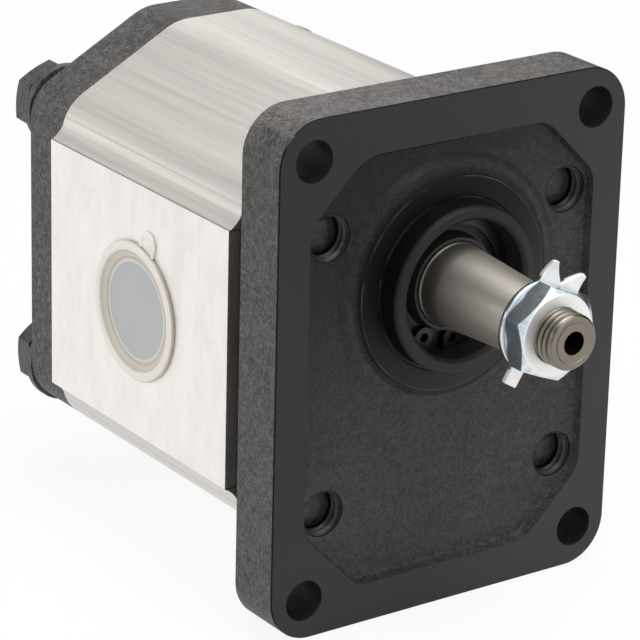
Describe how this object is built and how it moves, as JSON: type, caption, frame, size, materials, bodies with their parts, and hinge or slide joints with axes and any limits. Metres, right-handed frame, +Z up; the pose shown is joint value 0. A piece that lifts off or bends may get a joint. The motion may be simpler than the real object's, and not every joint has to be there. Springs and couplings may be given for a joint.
{
  "type": "hydraulic gear pump",
  "caption": "External gear pump: rectangular cast flange, tapered drive shaft with nut and tab washer, extruded body with a plugged port on each side, bolted rear cover.",
  "frame": {"origin": "on the drive shaft's axis, at the centre of the pilot, in the plane of the machined mounting face", "axes": "-Y along the drive shaft, out of the pump; +Y along the body towards the rear cover; +Z up, from the driven gear to the drive gear; -X is the larger port's side"},
  "size_m": [0.088, 0.1543, 0.1136],
  "materials": {
    "black_cast_iron": "black painted casting, machined where it mates",
    "extruded_aluminium": "drawn satin, milled on the port pads",
    "gear_steel": "case hardened and ground",
    "block_aluminium": "machined",
    "bush_bronze": "sintered bearing lining",
    "seal_rubber": "matt elastomer",
    "backup_plastic": "white backup strip",
    "seal_case_steel": "pressed steel, rubber coated outside",
    "spring_steel": "phosphated spring steel",
    "black_bolt_steel": "black oxide",
    "zinc_plated_steel": "bright zinc plate",
    "plug_polyethylene": "milky translucent transit plug"
  },
  "bodies": {
    "housing": {"front_flange": "black_cast_iron", "pump_body": "extruded_aluminium", "rear_cover": "black_cast_iron", "front_bearing_block": "block_aluminium", "rear_bearing_block": "block_aluminium", "drive_front_bush": "bush_bronze", "drive_rear_bush": "bush_bronze", "driven_front_bush": "bush_bronze", "driven_rear_bush": "bush_bronze", "front_block_seal": "seal_rubber", "rear_block_seal": "seal_rubber", "front_backup_strip": "backup_plastic", "rear_backup_strip": "backup_plastic", "front_body_seal": "seal_rubber", "rear_body_seal": "seal_rubber", "shaft_seal_case": "seal_case_steel", "shaft_seal_lip": "seal_rubber", "shaft_seal_spring": "seal_case_steel", "retaining_ring": "spring_steel", "front_dowels": "spring_steel", "rear_dowels": "spring_steel", "through_bolts": "black_bolt_steel", "bolt_washers": "black_bolt_steel", "bolt_lock_washers": "black_bolt_steel"},
    "drive_shaft": {"drive_gear_shaft": "gear_steel", "shaft_key": "gear_steel", "tab_washer": "zinc_plated_steel", "shaft_nut": "zinc_plated_steel"},
    "driven_gear": {"driven_gear_shaft": "gear_steel"},
    "inlet_plug": {"inlet_plug": "plug_polyethylene"},
    "outlet_plug": {"outlet_plug": "plug_polyethylene"}
  },
  "joints": [
    {"name": "drive_shaft_spin", "type": "hinge", "parent": "housing", "child": "drive_shaft", "pos_m": [0, 0, 0], "axis": [0, 1, 0], "continuous": true},
    {"name": "driven_gear_spin", "type": "hinge", "parent": "housing", "child": "driven_gear", "pos_m": [0, 0.05515, -0.031], "axis": [0, 1, 0], "continuous": true},
    {"name": "inlet_plug_pull", "type": "slide", "parent": "housing", "child": "inlet_plug", "axis": [-1, 0, 0], "range_m": [0, 0.015]},
    {"name": "outlet_plug_pull", "type": "slide", "parent": "housing", "child": "outlet_plug", "axis": [1, 0, 0], "range_m": [0, 0.015]}
  ],
  "couplings": [
    {"joint": "driven_gear_spin", "follows": "drive_shaft_spin", "ratio": -1}
  ]
}
